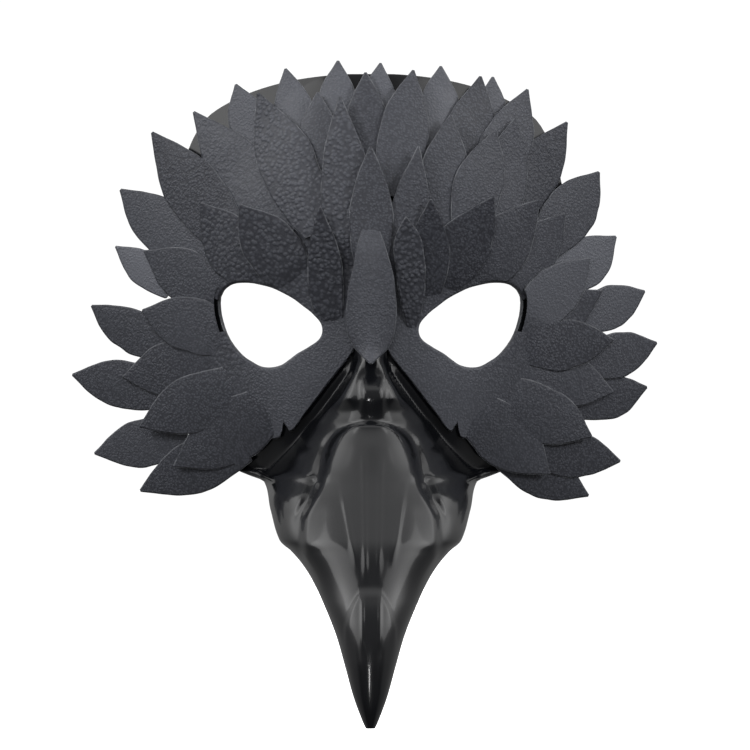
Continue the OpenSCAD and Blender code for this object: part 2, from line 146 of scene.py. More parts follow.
def curve(t, table):
    """Smooth curve through rising (key, value) pairs, level beyond its ends."""
    keys = np.array([k for k, v in table], float)
    values = np.array([v for k, v in table], float)
    last = len(keys) - 1
    t = np.asarray(t, float)
    i = np.clip(np.searchsorted(keys, t, side="right") - 1, 0, last - 1)
    before, after = np.maximum(i - 1, 0), np.minimum(i + 2, last)
    width = keys[i + 1] - keys[i]
    s = np.clip((t - keys[i]) / width, 0, 1)
    m = width * (values[i + 1] - values[before]) / (keys[i + 1] - keys[before])
    k = width * (values[after] - values[i]) / (keys[after] - keys[i])
    return (values[i] * (1 + s * s * (2 * s - 3)) + values[i + 1] * s * s * (3 - 2 * s)
            + m * s * (s - 1) ** 2 + k * s * s * (s - 1))


def step(a, b, t):
    s = np.clip((np.asarray(t, float) - a) / (np.asarray(b, float) - a), 0, 1)
    return s * s * (3 - 2 * s)


def hill(x, z, cx, cz, rx, rz):
    return np.exp(-((x - cx) / rx) ** 2 - ((z - cz) / rz) ** 2)


def face_form(x, z):
    """Forehead and cheeks: an ellipsoid that runs out straight at its edge."""
    r = np.hypot(x / 90, (z - 10) / 130)
    near = 95 * (np.sqrt(1 - np.minimum(r, FLARE_AT) ** 2) - 1)
    return near - 80 * np.maximum(r - FLARE_AT, 0)


def arch(s, z):
    s = np.minimum(s, 1)
    return np.power(1 - s ** 2.4, 1.4 - 0.85 * step(-42, -72, z))


def relief(x, z):
    """Raised culmen, the grooves beside it and the two nostril mounds."""
    w = curve(z, CULMEN_HALF)
    x = np.abs(x)
    return (5 * step(-1.5, 2.5, w - x) * step(-38.5, -41.5, z) * (1 - step(-86, -110, z))
            - 2.5 * np.exp(-((x - w - 2.2) / 2) ** 2) * step(-42, -50, z)
            * (1 - step(-72, -86, z))
            + 4 * hill(x, z, 30.5, -62, 7, 16))


def skin_form(x, z):
    """How far forward the surface that the leather lies on is."""
    rise = (curve(z, CULMEN) - face_form(0, z)) * step(62, 34, z)
    return (face_form(x, z) - 4 * hill(np.abs(x), z, 42, -2, 26, 20)
            + rise * arch(np.abs(x) / curve(z, BEAK_ROOT), z) + np.where(z < -34, relief(x, z), 0))


def beak_form(x, z):
    rear, side = curve(z, REAR_EDGE), np.abs(x) / curve(z, HALF_WIDTH)
    return (rear + (curve(z, CULMEN) - rear) * arch(side, z)
            + relief(x, z) * (1 - step(0.85, 1, side)))


def tool_marks(x, z):
    """The fine forms that a forming tool leaves: flutes, folds, knob and keel."""
    fine = np.zeros_like(x)
    for top_x, low_x, top, low, height in FLUTES:
        along = np.clip((top - z) / (top - low), 0, 1)
        middle = top_x + (low_x - top_x) * along
        ends = step(top + 2, top - 8, z) * step(low - 2, low + 10, z)
        fine += height * np.exp(-((x - middle) / 1.15) ** 2) * ends
    # knob under the bridge feather, and two folds down each side of the nose
    fine += (2.4 * np.clip((-21.3 - z) / 6.3, 0, 1) * (1 - step(-28, -41, z))
             * (1 - step(3.4, 5.6, np.abs(x - 0.9))))
    across = (np.abs(x) - 6.6) * 0.79 + (z + 11.2) * 0.613
    along = (np.abs(x) - 6.6) * 0.613 - (z + 11.2) * 0.79
    for fold, height in FOLDS:
        fine += height * np.exp(-((across - fold) / 1.4) ** 2) * step(3, 9, along) \
            * step(35, 30, along)
    # the nose stays broad and flat between the folds, down to the two pits
    side = np.abs(x) / curve(z, BEAK_ROOT)
    fine += (0.8 * (curve(z, CULMEN) - face_form(0, z)) * (1 - arch(side, z))
             * (1 - step(0.5, 0.9, side)) * step(-13, -18, z) * (1 - step(-30, -36, z)))
    fine += 1.5 * hill(x, z, 0, -12, 8, 5)
    # keel of the hook, which starts as a point and spreads over the tip
    keel = 10.5 * np.sqrt(np.clip((-103 - z) / 17, 0, 1))
    fine += 0.9 * (1 - step(keel - 1.2, keel + 0.4, np.abs(x))) * step(-104, -108, z) \
        * step(-132, -118, z)
    for middle in STREAKS:
        fine += 0.5 * np.exp(-((x - middle) / 0.9) ** 2) * step(-106, -112, z) \
            * step(-130, -122, z)
    return fine


def shell_form(x, z):
    b = step(-58, -70, z)
    return skin_form(x, z) * (1 - b) + beak_form(x, z) * b + tool_marks(x, z)


def place(x, z, lift):
    """Points of the drawing in metres, lifted off the leather's surface."""
    return np.stack([x * KX / 1000, -skin_form(x, z) * KY / 1000 - lift, z * KZ / 1000], -1)


def eye_edge(angle, grow=0.0):
    """Eye hole outline about its middle, on the wearer's left side."""
    r = curve(angle, EYE_RADIUS) + grow
    return r * np.cos(np.radians(angle)), r * np.sin(np.radians(angle))


def about_eye(x, z, side):
    """Offsets and distance from one eye hole's middle, and how wide the hole is there."""
    dx, dz = side * x - EYE_X, z - EYE_Z
    angle = (np.degrees(np.arctan2(dz, dx)) + 60) % 360 - 60
    return dx, dz, np.maximum(np.hypot(dx, dz), WELD), curve(angle, EYE_RADIUS)


# ---- small helpers ----
def to_linear(hex_colour):
    """sRGB hex to the linear RGBA that shaders take."""
    parts = [int(hex_colour[i:i + 2], 16) / 255 for i in (1, 3, 5)]
    return tuple(c / 12.92 if c <= 0.04045 else ((c + 0.055) / 1.055) ** 2.4 for c in parts) + (1,)


def add(tree, kind, inputs=(), **settings):
    """Adds a node with its settings, and fills its inputs with values, nodes or sockets."""
    node = tree.nodes.new(kind)
    for name, value in settings.items():
        setattr(node, name, value)
    for key, value in inputs.items() if isinstance(inputs, dict) else enumerate(inputs):
        if isinstance(value, bpy.types.Node):
            value = value.outputs[0]
        if isinstance(value, bpy.types.NodeSocket):
            tree.links.new(value, node.inputs[key])
        else:
            node.inputs[key].default_value = value
    return node


def new_object(name, data):
    obj = bpy.data.objects.new(name, data)
    bpy.context.scene.collection.objects.link(obj)
    return obj


def baked(obj):
    """The object's evaluated result as a plain mesh, with its modifiers removed."""
    graph = bpy.context.evaluated_depsgraph_get()
    mesh = bpy.data.meshes.new_from_object(
        obj.evaluated_get(graph), preserve_all_data_layers=True, depsgraph=graph)
    mesh.name = obj.name
    obj.modifiers.clear()
    obj.data = mesh
    return obj


def new_tree(name, inputs):
    """A Geometry Nodes tree with these inputs (name, kind, default) and a mesh output."""
    tree = bpy.data.node_groups.new(name, "GeometryNodeTree")
    for label, kind, default in inputs:
        socket = tree.interface.new_socket(
            name=label, in_out="INPUT", socket_type="NodeSocket" + kind)
        if default is not None:
            socket.default_value = default
    tree.interface.new_socket(name="Mesh", in_out="OUTPUT", socket_type="NodeSocketGeometry")
    return tree, tree.nodes.new("NodeGroupInput").outputs


def through_nodes(obj, tree, values):
    """Puts a Geometry Nodes tree on the object with these inputs, and bakes it."""
    modifier = obj.modifiers.new(tree.name, "NODES")
    modifier.node_group = tree
    for item in tree.interface.items_tree:
        if item.item_type == "SOCKET" and item.in_out == "INPUT" and item.name in values:
            modifier[item.identifier] = values[item.name]
    return baked(obj)


def smooth(mesh, skip=()):
    for polygon in mesh.polygons:
        polygon.use_smooth = polygon.material_index not in skip


def grid_quads(n, m):
    """Corner numbers of each square in a grid of n by m points."""
    index = np.arange(n * m).reshape(n, m)
    return np.stack([index[:-1, :-1], index[:-1, 1:], index[1:, 1:], index[1:, :-1]],
                    -1).reshape(-1, 4)


def grid_sheet(name, front, back):
    """Closed sheet between two grids of points: front, cut edges (1) and back (2)."""
    n, m = front.shape[0], front.shape[1]
    count = n * m
    index = np.arange(count).reshape(n, m)
    faces = grid_quads(n, m).tolist()
    kinds = [0] * len(faces)
    faces += [tuple(count + v for v in reversed(f)) for f in faces]
    kinds += [2] * len(kinds)
    ring = ([index[0, j] for j in range(m)] + [index[i, m - 1] for i in range(1, n)]
            + [index[n - 1, j] for j in range(m - 2, -1, -1)]
            + [index[i, 0] for i in range(n - 2, 0, -1)])
    for a, b in zip(ring, ring[1:] + ring[:1]):
        faces.append((b, a, count + a, count + b))
        kinds.append(1)
    mesh = bpy.data.meshes.new(name)
    points = np.concatenate([front.reshape(-1, 3), back.reshape(-1, 3)])
    mesh.from_pydata(points.tolist(), [], [tuple(int(v) for v in f) for f in faces])
    mesh.polygons.foreach_set("material_index", kinds)
    turned_out(mesh)
    smooth(mesh, skip=(1,))
    return mesh


@contextmanager
def edited(mesh):
    """The mesh as a bmesh, which is written back at the end."""
    work = bmesh.new()
    work.from_mesh(mesh)
    yield work
    work.to_mesh(mesh)
    work.free()


def turned_out(mesh):
    """Merges doubled points and turns every face outwards."""
    with edited(mesh) as work:
        bmesh.ops.remove_doubles(work, verts=work.verts, dist=WELD)
        bmesh.ops.recalc_face_normals(work, faces=work.faces)
    mesh.update()


def paint(mesh, name, value):
    """One number per point of the mesh, for its materials to read."""
    layer = mesh.attributes.new(name, "FLOAT", "POINT")
    layer.data.foreach_set("value", np.broadcast_to(value, len(mesh.vertices)).astype(np.float32))


def finish_piece(obj, body, slot, *nodes):
    if nodes:
        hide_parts(*nodes)
    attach(obj, body)


# ---- materials ----
MATHS, VECTORS, RANGE = "ShaderNodeMath", "ShaderNodeVectorMath", "ShaderNodeMapRange"
NOISE, CELLS = "ShaderNodeTexNoise", "ShaderNodeTexVoronoi"


def shader(name, values):
    """A new material, its tree, its principled shader and its object coordinates."""
    material = bpy.data.materials.new(name)
    material.use_nodes = True
    tree = material.node_tree
    principled = tree.nodes["Principled BSDF"]
    for key, value in values.items():
        principled.inputs[key].default_value = value
    return material, tree, principled, add(tree, "ShaderNodeTexCoord").outputs["Object"]


def material_gloss_abs(settings):
    # Vacuum-formed ABS sheet with a gloss cap layer: deep black that shows only
    # what it reflects, a faint ripple drawn over the tool and hairline rub marks
    material, tree, principled, where = shader("ABS_vacuum_formed_gloss", {
        "Base Color": to_linear(settings.shell_colour), "IOR": 1.54, "Coat Weight": 0.35,
        "Coat Roughness": 0.06})
    # handling marks about 14 mm across, and a ripple of about 22 mm
    rub = add(tree, NOISE, {"Vector": where, "Scale": 70.0, "Detail": 5.0, "Roughness": 0.6})
    rough = add(tree, RANGE, {"Value": rub, "From Min": 0.3, "From Max": 0.75, "To Min": 0.13,
                              "To Max": 0.24})
    tree.links.new(rough.outputs[0], principled.inputs["Roughness"])
    ripple = add(tree, NOISE, {"Vector": where, "Scale": 45.0, "Detail": 2.0})
    bump = add(tree, "ShaderNodeBump", {"Height": ripple, "Distance": 0.0006, "Strength": 0.12})
    tree.links.new(bump.outputs[0], principled.inputs["Normal"])
    return material


def material_pebbled_cowhide(settings):
    # Shrunken-grain cowhide, drum dyed black with a satin acrylic finish: blue-grey under a wide
    # light, pebbles from 1.0 to 1.7 mm across, with painted shade in the creases between
    material, tree, principled, where = shader("Cowhide_pebbled_satin_black", {"IOR": 1.48})
    coarse, tone, rim = (add(tree, "ShaderNodeAttribute", attribute_name=name).outputs["Fac"]
                         for name in ("grain", "tone", "rim"))
    sway = add(tree, NOISE, {"Vector": where, "Scale": 260.0, "Detail": 2.0}).outputs["Color"]
    bent = add(tree, VECTORS, (sway, (0.0011, 0.0011, 0.0011)), operation="MULTIPLY")
    bent = add(tree, VECTORS, (where, bent))
    heights = []
    for size in (0.0017, 0.0010):
        dome = add(tree, CELLS, {"Vector": bent, "Scale": 1 / size, "Smoothness": 0.35},
                   feature="SMOOTH_F1")
        heights.append(add(tree, RANGE, {"Value": dome, "From Min": 0.15, "From Max": 0.72,
                                         "To Min": 1.0, "To Max": 0.0},
                           interpolation_type="SMOOTHSTEP"))
    pebble = add(tree, "ShaderNodeMix", {0: coarse, 2: heights[1], 3: heights[0]})
    # loose and tight parts of the hide, about 20 mm across
    hide = add(tree, NOISE, {"Vector": where, "Scale": 50.0, "Detail": 4.0})
    depth = add(tree, RANGE, {"Value": hide, "From Min": 0.3, "From Max": 0.7, "To Min": 0.3,
                              "To Max": 1.0})
    swell = add(tree, RANGE, {"Value": coarse, "To Min": 0.3, "To Max": 0.85})
    swell = add(tree, MATHS, (swell, depth), operation="MULTIPLY")
    domes = add(tree, MATHS, (pebble, swell), operation="MULTIPLY")
    pores = add(tree, NOISE, {"Vector": where, "Scale": 2600.0, "Detail": 2.0})
    total = add(tree, MATHS, (pores, 0.12, domes), operation="MULTIPLY_ADD")
    grain = add(tree, "ShaderNodeBump", {"Height": total, "Distance": 0.00065, "Strength": 1.0})
    # the rim of the grain is burnished over the cut, half a millimetre wide
    turned = add(tree, RANGE, {"Value": rim, "From Min": 0.0, "From Max": 0.0006},
                 interpolation_type="SMOOTHSTEP")
    edge = add(tree, "ShaderNodeBump", {"Height": turned, "Distance": 0.0004, "Strength": 1.0,
                                        "Normal": grain})
    tree.links.new(edge.outputs[0], principled.inputs["Normal"])
    # the colour: painted shade in the creases between the pebbles, a faded tone that differs from
    # leaf to leaf (round the eyes, painted shade above the eye), and pale cut fibres in patches
    # along the cut, partly a painted highlight on the rim
    # pale cut fibres along the rim, partly a painted highlight where the edge would catch the
    # light
    fray_and_highlight = add(tree, RANGE, {"Value": rim, "From Min": 0.00012, "From Max": 0.00042,
                             "To Min": 0.9, "To Max": 0.0})
    patch = add(tree, NOISE, {"Vector": where, "Scale": 130.0, "Detail": 2.0})
    patch = add(tree, RANGE, {"Value": patch, "From Min": 0.42, "From Max": 0.62})
    fray_and_highlight = add(tree, MATHS, (fray_and_highlight, patch), operation="MULTIPLY")
    # painted shade: the crease colour darkens the leather between the pebbles
    colour = to_linear(settings.leather_crease)
    for amount, other in ((pebble, settings.leather_colour), (tone, settings.leather_faded_and_lit),
                          (fray_and_highlight, settings.edge_colour)):
        colour = add(tree, "ShaderNodeMix", {0: amount, 6: colour, 7: to_linear(other)},
                     data_type="RGBA").outputs[2]
    tree.links.new(colour, principled.inputs["Base Color"])
    rough = add(tree, RANGE, {"Value": hide, "From Min": 0.3, "From Max": 0.7, "To Min": 0.42,
                              "To Max": 0.56})
    tree.links.new(rough.outputs[0], principled.inputs["Roughness"])
    return material


# Two-coloured finishes: name, texture and its inputs, dark and light colour (or the
# setting that holds it) and where they lie, bump distance and strength, shader inputs
TWO_TONE = {
    # The shell's sheet where it was sawn and sanded: the cut shows pale and dull
    "trim": ("ABS_sawn_and_sanded_edge", NOISE, {"Scale": 900.0, "Detail": 3.0},
             ("#4c4e52", 0), ("#8d8f93", 1), None, {"Roughness": 0.5}),
    # Knife-cut edge of the hide: fibres show grey, with a trace of the dye
    "cut": ("Cowhide_knife_cut_edge", NOISE, {"Scale": 1500.0, "Detail": 4.0},
            ("leather_crease", 0.25), ("edge_colour", 0.6), (0.0002, 0.5),
            {"Roughness": 0.75}),
    # Flesh side of the hide, left as suede: matt, napped and paler than the grain
    "suede": ("Cowhide_flesh_side_suede", NOISE,
              {"Scale": 700.0, "Detail": 6.0, "Roughness": 0.7}, ("#26262a", 0),
              ("#56565a", 1), (0.0003, 0.6),
              {"Roughness": 0.95, "Sheen Weight": 0.25, "Sheen Roughness": 0.5}),
    # Die-cut charcoal polyurethane foam: open cells of about 0.8 mm, no gloss
    "foam": ("Polyurethane_foam_open_cell", CELLS, {"Scale": 1250.0}, ("#1d1d1f", 0),
             ("#3c3c3f", 1), (0.0005, 0.7), {"Roughness": 0.95}),
    # Woven elastic, textured polyester over rubber: the dull sheen of filament yarn
    "webbing": ("Elastic_webbing_woven_polyester", NOISE, {"Scale": 1800.0, "Detail": 3.0},
                ("#141416", 0), ("#303034", 1), (0.0003, 0.6),
                {"Roughness": 0.72, "Sheen Weight": 0.2}),
    # Injection-moulded acetal: fine spark-eroded texture, soft waxy highlight
    "acetal": ("Acetal_moulded_fine_texture", NOISE, {"Scale": 2400.0, "Detail": 3.0},
               ("#161618", 0), ("#232326", 1), (0.0001, 0.35), {"Roughness": 0.42}),
    # Steel cap rivet in baked black lacquer: a soft orange peel, thin at the rim
    "rivet": ("Steel_rivet_black_lacquer", NOISE, {"Scale": 1100.0, "Detail": 2.0},
              ("#1b1b1d", 0), ("#3a3a3d", 1), (0.0001, 0.25),
              {"Roughness": 0.3, "Coat Weight": 0.3}),
}
MADE = {}


def material_two_tone(settings, key):
    """One of the finishes above, whose texture mixes two colours and raises a bump."""
    name, texture, pattern, dark, light, bump, values = TWO_TONE[key]
    material, tree, principled, where = shader(name, values)
    height = add(tree, texture, {"Vector": where, **pattern})
    ramp = add(tree, "ShaderNodeValToRGB", [height])
    for stop, (colour, position) in zip(ramp.color_ramp.elements, (dark, light)):
        stop.color = to_linear(getattr(settings, colour, colour))
        stop.position = position
    tree.links.new(ramp.outputs[0], principled.inputs["Base Color"])
    if key == "webbing":
        # half-millimetre yarns that cross under the ribs
        path = add(tree, "ShaderNodeUVMap", uv_map="UVMap")
        height = add(tree, CELLS, {"Vector": path, "Scale": 2000.0, "Randomness": 0.25},
                     voronoi_dimensions="2D")
    if bump:
        raised = add(tree, "ShaderNodeBump",
                     {"Height": height, "Distance": bump[0], "Strength": bump[1]})
        tree.links.new(raised.outputs[0], principled.inputs["Normal"])
    return material


def finish(key):
    if key not in MADE:
        settings = bpy.context.scene.raven_mask
        MADE[key] = (material_gloss_abs(settings) if key == "gloss" else
                     material_pebbled_cowhide(settings) if key == "leather" else
                     material_two_tone(settings, key))
    return MADE[key]


# ---- the moulded shell ----
def shell_mesh():
    zs = np.concatenate([np.arange(*rows) for rows in SHELL_ROWS] + [[SHELL_ROWS[-1][1]]])
    turn = np.radians(np.linspace(-90, 90, SHELL_COLUMNS))
    z, a = np.meshgrid(zs, turn, indexing="ij")
    x = curve(z, HALF_WIDTH) * np.sin(a)
    inside = np.zeros(x.shape, bool)
    for side in (-1, 1):
        dx, dz, radius, hole = about_eye(x, z, side)
        within = radius < hole
        x = np.where(within, side * (EYE_X + dx * hole / radius), x)
        z = np.where(within, EYE_Z + dz * hole / radius, z)
        inside |= within
    w = np.maximum(curve(z, HALF_WIDTH), 1e-6)
    lean = np.clip(x / w, -1, 1)
    upright = np.sqrt(1 - lean ** 2)
    wall = WALL * 1000
    outer = np.stack([x * KX, -shell_form(x, z) * KY, z * KZ], -1)
    cut = np.minimum(wall / KX, 0.6 * w)
    inner = outer + np.stack([-cut * lean * KX, np.minimum(wall, 0.5 * w) * upright,
                              np.zeros_like(x)], -1)
    n, m = x.shape
    quads = grid_quads(n, m)
    quads = quads[~inside.ravel()[quads].all(1)].tolist()
    edges = {}
    for q in quads:
        for e in zip(q, q[1:] + q[:1]):
            key = (min(e), max(e))
            edges[key] = None if key in edges else e
    faces = quads + [[n * m + v for v in reversed(q)] for q in quads]
    kinds = [0] * len(faces)
    for e in edges.values():
        if e is not None:
            faces.append([e[1], e[0], n * m + e[0], n * m + e[1]])
            kinds.append(1)
    points = np.concatenate([outer.reshape(-1, 3), inner.reshape(-1, 3)]) / 1000
    mesh = bpy.data.meshes.new("mask_shell_formed")
    mesh.from_pydata(points.tolist(), [], faces)
    mesh.polygons.foreach_set("material_index", kinds)
    with edited(mesh) as work:
        loose = [v for v in work.verts if not v.link_faces]
        bmesh.ops.delete(work, geom=loose, context="VERTS")
    turned_out(mesh)
    smooth(mesh, skip=(1,))
    return mesh


# ---- the leather feathers ----
def leaf_tree():
    """A leaf laid on the skin from its root to its tip, cupped, curled and cut out."""
    tree, given = new_tree("Feather_leaf", (
        ("Skin", "Object", None), ("Root", "Vector", None), ("Tip", "Vector", None),
        ("Width", "Float", 0.02), ("Root Lift", "Float", 0.001), ("Tip Lift", "Float", 0.004),
        ("Skived", "Float", 0.0), ("Sunk Root", "Float", 0.0), ("Lens", "Float", 0.0),
        ("Thickness", "Float", 0.001), ("Crown", "Float", 0.0005),
        ("Tip Curl", "Float", 0.001), ("Bow", "Float", 0.0), ("Grain", "Float", 0.3),
        ("Tone", "Float", 0.2), ("Seed", "Int", 1), ("Leather", "Material", None),
        ("Cut Edge", "Material", None), ("Flesh Side", "Material", None)))
    grid = add(tree, "GeometryNodeMeshGrid",
               {"Size X": 1.0, "Size Y": 1.0, "Vertices X": 19, "Vertices Y": 53})
    spot = add(tree, "ShaderNodeSeparateXYZ", [add(tree, "GeometryNodeInputPosition")]).outputs
    across = add(tree, MATHS, (spot[0], 2.0), operation="MULTIPLY")
    along = add(tree, MATHS, (spot[1], 0.5), operation="ADD")
    outlines = []
    for spec in (LEAF_OUTLINE, LENS_OUTLINE):
        shape = add(tree, "ShaderNodeFloatCurve", {"Value": along})
        knots = shape.mapping.curves[0].points
        while len(knots) < len(spec):
            knots.new(0.5, 0.5)
        for knot, spot_on in zip(knots, spec):
            knot.location = spot_on
        shape.mapping.update()
        outlines.append(shape)
    outline = add(tree, "ShaderNodeMix", {0: given["Lens"], 2: outlines[0], 3: outlines[1]})
    # the hand-cut edge wavers a little, differently on its two sides
    edge_at = add(tree, MATHS, (along, 2.6, given["Seed"]), operation="MULTIPLY_ADD")
    edge_at = add(tree, MATHS, (add(tree, MATHS, [across], operation="SIGN"), 5.3, edge_at),
                  operation="MULTIPLY_ADD")
    waver = add(tree, NOISE, {"W": edge_at, "Scale": 1.0, "Detail": 1.0}, noise_dimensions="1D")
    waver = add(tree, RANGE, {"Value": waver, "From Min": 0.2, "From Max": 0.8, "To Min": 0.93,
                              "To Max": 1.07})
    half = add(tree, MATHS, (given["Width"], 0.5), operation="MULTIPLY")
    half = add(tree, MATHS, (half, add(tree, MATHS, (outline, waver), operation="MULTIPLY")),
               operation="MULTIPLY")
    run = add(tree, VECTORS, (given["Tip"], given["Root"]), operation="SUBTRACT")
    side = add(tree, VECTORS, (run, (0.0, 1.0, 0.0)), operation="CROSS_PRODUCT")
    side = add(tree, VECTORS, [side], operation="NORMALIZE")
    # the leaf bows sideways, most at its middle
    left = add(tree, MATHS, (1.0, along), operation="SUBTRACT")
    belly = add(tree, MATHS, (along, left), operation="MULTIPLY")
    belly = add(tree, MATHS, (belly, add(tree, MATHS, (given["Bow"], 4.0),
                                         operation="MULTIPLY")), operation="MULTIPLY")
    sideways = add(tree, MATHS, (across, half, belly), operation="MULTIPLY_ADD")
    flat = add(tree, VECTORS, {0: run, 3: along}, operation="SCALE")
    flat = add(tree, VECTORS, (given["Root"], flat), operation="ADD")
    aside = add(tree, VECTORS, {0: side, 3: sideways}, operation="SCALE")
    flat = add(tree, VECTORS, (flat, aside), operation="ADD")
    flat = add(tree, "ShaderNodeSeparateXYZ", [flat]).outputs
    # its place on the skin, straight behind each point
    start = add(tree, "ShaderNodeCombineXYZ", (flat[0], -1.0, flat[2]))
    skin = add(tree, "GeometryNodeObjectInfo", {"Object": given["Skin"]})
    touch = add(tree, "GeometryNodeRaycast",
                {"Target Geometry": skin.outputs["Geometry"], "Source Position": start,
                 "Ray Direction": (0.0, 1.0, 0.0), "Ray Length": 3.0})
    ground = add(tree, "ShaderNodeSeparateXYZ", [touch.outputs["Hit Position"]]).outputs[1]
    lift = add(tree, RANGE, {"Value": along, "To Min": given["Root Lift"],
                             "To Max": given["Tip Lift"]})
    # a skived root is pared down until it lies in the sheet round the eye
    level = add(tree, MATHS, (given["Skived"], 0.85), operation="MULTIPLY")
    level = add(tree, MATHS, (1.0, level), operation="SUBTRACT")
    level = add(tree, RANGE, {"Value": along, "To Min": level})
    lift = add(tree, MATHS, (lift, level), operation="MULTIPLY")
    # a sunk root dips under the leaves in front of it over its first quarter
    sunk = add(tree, RANGE, {"Value": along, "From Max": 0.25, "To Min": 1.0, "To Max": 0.0},
               interpolation_type="SMOOTHSTEP")
    sunk = add(tree, MATHS, (sunk, given["Sunk Root"]), operation="MULTIPLY")
    lift = add(tree, MATHS, (lift, sunk), operation="SUBTRACT")
    crown = add(tree, MATHS, (across, across), operation="MULTIPLY")
    crown = add(tree, MATHS, (0.6, crown), operation="SUBTRACT")
    crown = add(tree, MATHS, (crown, outline), operation="MULTIPLY")
    crown = add(tree, MATHS, (crown, given["Crown"]), operation="MULTIPLY")
    curl = add(tree, MATHS, (along, 4.0), operation="POWER")
    curl = add(tree, MATHS, (given["Tip Curl"], curl), operation="MULTIPLY")
    lift = add(tree, MATHS, (lift, crown), operation="ADD")
    lift = add(tree, MATHS, (lift, curl), operation="ADD")
    spot_y = add(tree, MATHS, (ground, lift), operation="SUBTRACT")
    laid = add(tree, "ShaderNodeCombineXYZ", (flat[0], spot_y, flat[2]))
    # how far each point is from the cut edge, for the burnished rim of the grain
    rim = add(tree, MATHS, [across], operation="ABSOLUTE")
    rim = add(tree, MATHS, (1.0, rim), operation="SUBTRACT")
    rim = add(tree, MATHS, (rim, half), operation="MULTIPLY")
    marked = add(tree, "GeometryNodeStoreNamedAttribute",
                 {"Geometry": grid.outputs["Mesh"], "Name": "rim", "Value": rim},
                 data_type="FLOAT", domain="POINT")
    back = add(tree, "GeometryNodeSetPosition", {"Geometry": marked, "Position": laid})
    front = add(tree, "GeometryNodeFlipFaces", {"Mesh": back})
    cut = add(tree, "GeometryNodeExtrudeMesh",
              {"Mesh": front, "Offset": (0.0, -1.0, 0.0), "Offset Scale": given["Thickness"],
               "Individual": False})
    edged = add(tree, "GeometryNodeSetMaterial",
                {"Geometry": cut.outputs["Mesh"], "Material": given["Cut Edge"]})
    edged = add(tree, "GeometryNodeSetShadeSmooth",
                {"Geometry": edged, "Selection": cut.outputs["Side"], "Shade Smooth": False})
    backed = add(tree, "GeometryNodeSetMaterial",
                 {"Geometry": back, "Material": given["Flesh Side"]})
    whole = add(tree, "GeometryNodeJoinGeometry")
    for part in (backed, edged):
        tree.links.new(part.outputs[0], whole.inputs[0])
    whole = add(tree, "GeometryNodeMergeByDistance", {"Geometry": whole, "Distance": WELD})
    for name, value in (("grain", given["Grain"]), ("tone", given["Tone"])):
        whole = add(tree, "GeometryNodeStoreNamedAttribute",
                    {"Geometry": whole, "Name": name, "Value": value},
                    data_type="FLOAT", domain="POINT")
    whole = add(tree, "GeometryNodeRealizeInstances", {"Geometry": whole})
    whole = add(tree, "GeometryNodeSetMaterial",
                {"Geometry": whole, "Selection": cut.outputs["Top"],
                 "Material": given["Leather"]})
    add(tree, "NodeGroupOutput", {"Mesh": whole})
    return tree


def leaves_of(node):
    """Root, tip, width and lifts of each leaf in a CAD node, from its own points."""
    work = bmesh.new()
    work.from_mesh(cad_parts[node].data)
    bmesh.ops.remove_doubles(work, verts=work.verts, dist=WELD)
    seen, found = set(), []
    for first in work.verts:
        if first in seen:
            continue
        stack, part = [first], []
        seen.add(first)
        while stack:
            v = stack.pop()
            part.append(v.co[:])
            for e in v.link_edges:
                w = e.other_vert(v)
                if w not in seen:
                    seen.add(w)
                    stack.append(w)
        points = np.array(part)
        flat = points[:, [0, 2]]
        middle = flat.mean(0)
        axis = np.linalg.svd(flat - middle, full_matrices=False)[2][0]
        t = (flat - middle) @ axis
        s = (flat - middle) @ np.array([-axis[1], axis[0]])
        ends = []
        for pick in (t < t.min() + LEAF_END, t > t.max() - LEAF_END):
            lifts = -points[pick, 1] - skin_form(points[pick, 0] * 1000 / KX,
                                                 points[pick, 2] * 1000 / KZ) * KY / 1000
            ends.append((np.ptp(s[pick]), flat[pick].mean(0), lifts.min()))
        ends.sort(key=lambda e: -e[0])
        (_, root, root_lift), (_, tip, tip_lift) = ends
        found.append((root, tip, float(np.ptp(s)), float(root_lift), float(tip_lift)))
    work.free()
    return found


# grain and tone that single leaves were cut with: (coarseness, fading)
HIDE = {
    "crest_middle_right_2": (1.0, 0.25), "crest_front_right_1": (1.0, 0.2),
    "crest_middle_right_3": (0.6, 0.3), "brow_feather_right_1": (0.8, 0.1),
    "brow_feather_right_2": (0.9, 0.1), "brow_feather_right_3": (0.9, 0.05),
    "brow_feather_left_5": (1.0, 0.12), "brow_feather_left_1": (0.4, 0.0),
    "brow_feather_left_2": (0.3, 0.0), "crest_back_row_left": (0.1, 0.55),
    "crest_back_row_right": (0.1, 0.5), "temple_feather_left_1": (0.1, 0.8),
    "temple_feather_left_2": (0.15, 0.6), "cheek_back_left_1": (0.1, 0.5),
    "bridge_feather": (0.35, 0.3), "temple_feather_right_3": (0.1, 0.9)}
LENSES = ("bridge_feather", "brow_feather_left_5")
SKIVED = ("brow_feather", "cheek_front", "temple_feather_left_2", "temple_feather_right_2")
# how much further a root runs on, out of sight under the leaves in front of it
TUCKED = {
    "crest_front_right_1": 0.020, "crest_front_left_1": 0.016, "crest_front_left_2": 0.018,
    "brow_feather_right_1": 0.007, "brow_feather_right_2": 0.007, "brow_feather_right_3": 0.009,
    "brow_feather_left_1": 0.005, "brow_feather_left_2": 0.007, "brow_feather_left_3": 0.007,
    "brow_feather_left_4": 0.007, "brow_feather_left_5": 0.009, "temple_feather_left_2": 0.008,
    "temple_feather_right_2": 0.008, "cheek_front_left_1": 0.009, "cheek_front_right_1": 0.006,
    "cheek_front_left_2": 0.004}
SHARED = {}


